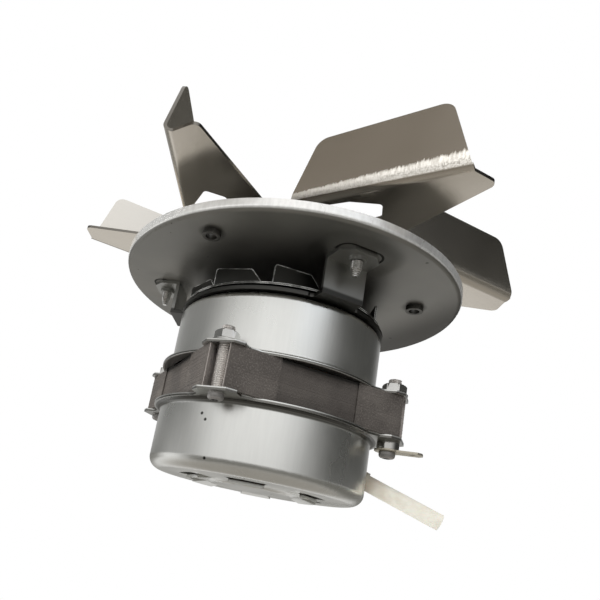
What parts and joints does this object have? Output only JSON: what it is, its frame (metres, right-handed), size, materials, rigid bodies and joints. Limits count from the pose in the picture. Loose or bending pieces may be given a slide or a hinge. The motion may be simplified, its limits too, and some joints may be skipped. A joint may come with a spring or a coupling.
{
  "type": "oven circulation fan",
  "caption": "Hot-air fan for an oven: sheet-metal wheel with bent blades on a motor hung below a round mounting flange, with a cooling wheel between flange and motor.",
  "frame": {"origin": "on the motor axis, at the mounting flange's oven side", "axes": "+Z along the motor shaft, from the motor towards the fan wheel; one flange foot is towards -Y"},
  "size_m": [0.1806, 0.1904, 0.1295],
  "materials": {
    "zinc_sheet": "zinc coated pressed steel, satin",
    "flange_sheet": "aluminised pressed steel, satin, heat tinted",
    "fasteners": "bright zinc plated steel",
    "laminations": "stacked electrical steel, oxide blued",
    "winding": "enamelled copper under varnish",
    "tinned": "tinned brass",
    "silicone": "silicone coated glass sleeve",
    "bearing_steel": "ground bearing steel",
    "shaft_steel": "turned steel",
    "rotor_aluminium": "cast aluminium end rings",
    "stainless": "rolled stainless sheet"
  },
  "bodies": {
    "root": {"mounting_flange": "flange_sheet", "support_spider": "zinc_sheet", "flange_screws": "fasteners", "spider_rivets": "fasteners", "front_shell": "zinc_sheet", "rear_shell": "zinc_sheet", "stator_core": "laminations", "stator_winding": "winding", "tie_bolts": "fasteners", "tie_bolt_nuts": "fasteners", "earth_spacer": "fasteners", "earth_tab": "tinned", "lead_grommet": "silicone", "lead_sleeve": "silicone", "preload_spring": "bearing_steel", "front_bearing_outer_ring": "bearing_steel", "front_bearing_balls": "bearing_steel", "rear_bearing_outer_ring": "bearing_steel", "rear_bearing_balls": "bearing_steel"},
    "rotor": {"motor_shaft": "shaft_steel", "rotor_core": "laminations", "rotor_end_rings": "rotor_aluminium", "front_bearing_inner_ring": "bearing_steel", "rear_bearing_inner_ring": "bearing_steel", "cooling_wheel": "zinc_sheet", "cooling_hub": "shaft_steel", "fan_wheel": "stainless", "wheel_hub": "shaft_steel", "wheel_washer": "fasteners", "wheel_nut": "fasteners"}
  },
  "joints": [
    {"name": "rotor_spin", "type": "hinge", "parent": "root", "child": "rotor", "pos_m": [0, 0, 0], "axis": [0, 0, 1], "continuous": true}
  ]
}
